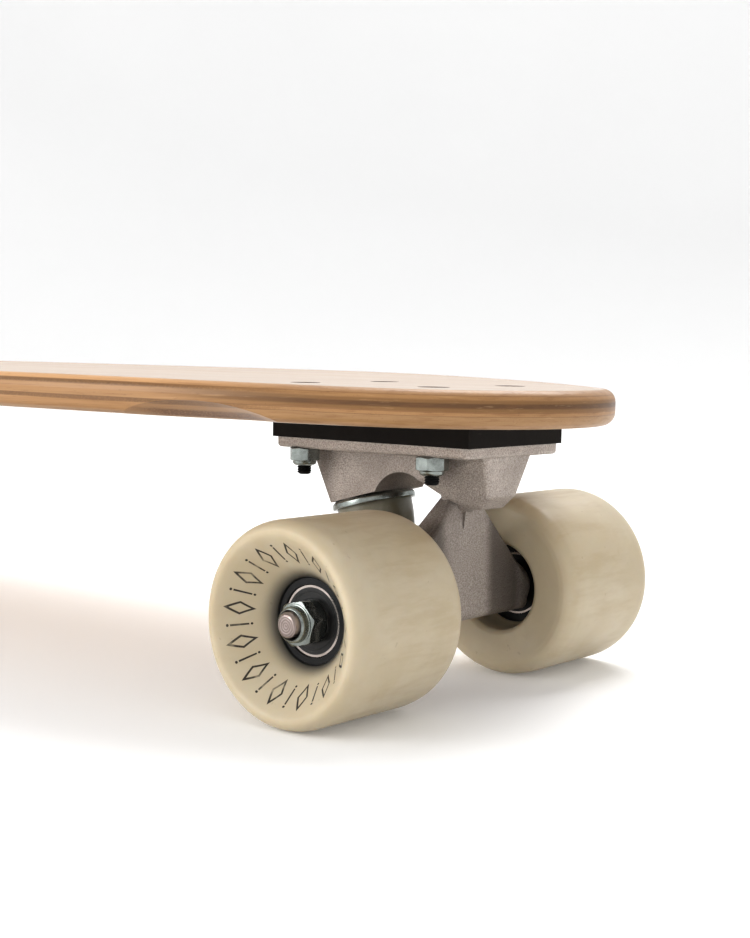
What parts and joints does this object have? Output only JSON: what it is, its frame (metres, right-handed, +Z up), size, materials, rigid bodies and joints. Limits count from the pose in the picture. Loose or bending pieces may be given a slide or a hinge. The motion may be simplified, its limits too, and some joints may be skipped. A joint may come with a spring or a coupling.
{
  "type": "skateboard",
  "caption": "Small cruiser skateboard: laminated wooden deck with a kicked tail, leaning cast trucks on urethane bushings and wide free-rolling wheels.",
  "frame": {"origin": "floor level, under the middle of the board's length and width", "axes": "+X towards the nose, +Y towards the left side, +Z up"},
  "size_m": [0.66, 0.1842, 0.1264],
  "materials": {
    "deck_wood": "satin",
    "riser_black": "matt",
    "cast_alloy": "as cast",
    "zinc_steel": "zinc plated",
    "black_steel": "black oxide",
    "axle_steel": "turned",
    "bearing_steel": "ground",
    "bushing_urethane": "satin",
    "cup_urethane": "satin",
    "wheel_urethane": "satin",
    "core_black": "satin",
    "shield_black": "satin"
  },
  "bodies": {
    "board": {"deck": "deck_wood", "front_riser_pad": "riser_black", "front_baseplate": "cast_alloy", "front_mounting_bolts": "black_steel", "front_mounting_nuts": "zinc_steel", "front_pivot_cup": "cup_urethane", "front_kingpin": "zinc_steel", "front_kingpin_nut": "zinc_steel", "front_upper_washer": "zinc_steel", "front_upper_bushing": "bushing_urethane", "front_lower_bushing": "bushing_urethane", "front_lower_washer": "zinc_steel", "rear_riser_pad": "riser_black", "rear_baseplate": "cast_alloy", "rear_mounting_bolts": "black_steel", "rear_mounting_nuts": "zinc_steel", "rear_pivot_cup": "cup_urethane", "rear_kingpin": "zinc_steel", "rear_kingpin_nut": "zinc_steel", "rear_upper_washer": "zinc_steel", "rear_upper_bushing": "bushing_urethane", "rear_lower_bushing": "bushing_urethane", "rear_lower_washer": "zinc_steel"},
    "front_truck": {"front_hanger": "cast_alloy", "front_axle": "axle_steel", "front_axle_nuts": "zinc_steel", "front_speed_washers": "zinc_steel", "front_bearing_inner_races": "bearing_steel", "front_bearing_spacers": "bearing_steel"},
    "front_left_wheel": {"front_left_tyre": "wheel_urethane", "front_left_core": "core_black", "front_left_bearing_outer_races": "bearing_steel", "front_left_bearing_balls": "bearing_steel", "front_left_bearing_shields": "shield_black"},
    "front_right_wheel": {"front_right_tyre": "wheel_urethane", "front_right_core": "core_black", "front_right_bearing_outer_races": "bearing_steel", "front_right_bearing_balls": "bearing_steel", "front_right_bearing_shields": "shield_black"},
    "rear_truck": {"rear_hanger": "cast_alloy", "rear_axle": "axle_steel", "rear_axle_nuts": "zinc_steel", "rear_speed_washers": "zinc_steel", "rear_bearing_inner_races": "bearing_steel", "rear_bearing_spacers": "bearing_steel"},
    "rear_left_wheel": {"rear_left_tyre": "wheel_urethane", "rear_left_core": "core_black", "rear_left_bearing_outer_races": "bearing_steel", "rear_left_bearing_balls": "bearing_steel", "rear_left_bearing_shields": "shield_black"},
    "rear_right_wheel": {"rear_right_tyre": "wheel_urethane", "rear_right_core": "core_black", "rear_right_bearing_outer_races": "bearing_steel", "rear_right_bearing_balls": "bearing_steel", "rear_right_bearing_shields": "shield_black"}
  },
  "joints": [
    {"name": "front_lean", "type": "hinge", "parent": "board", "child": "front_truck", "pos_m": [0.24974, 0, 0.04374], "axis": [0.8295, 0, 0.5585], "range_deg": [-12, 12], "stiffness_Nm_per_rad": 40, "deforming": ["front_upper_bushing", "front_lower_bushing"]},
    {"name": "front_left_roll", "type": "hinge", "parent": "front_truck", "child": "front_left_wheel", "pos_m": [0.2764, 0.0525, 0.031], "axis": [0, 1, 0], "continuous": true},
    {"name": "front_right_roll", "type": "hinge", "parent": "front_truck", "child": "front_right_wheel", "pos_m": [0.2764, -0.0525, 0.031], "axis": [0, 1, 0], "continuous": true},
    {"name": "rear_lean", "type": "hinge", "parent": "board", "child": "rear_truck", "pos_m": [-0.14514, 0, 0.04374], "axis": [-0.8295, 0, 0.5585], "range_deg": [-12, 12], "stiffness_Nm_per_rad": 40, "deforming": ["rear_upper_bushing", "rear_lower_bushing"]},
    {"name": "rear_left_roll", "type": "hinge", "parent": "rear_truck", "child": "rear_left_wheel", "pos_m": [-0.1718, 0.0525, 0.031], "axis": [0, 1, 0], "continuous": true},
    {"name": "rear_right_roll", "type": "hinge", "parent": "rear_truck", "child": "rear_right_wheel", "pos_m": [-0.1718, -0.0525, 0.031], "axis": [0, 1, 0], "continuous": true}
  ]
}
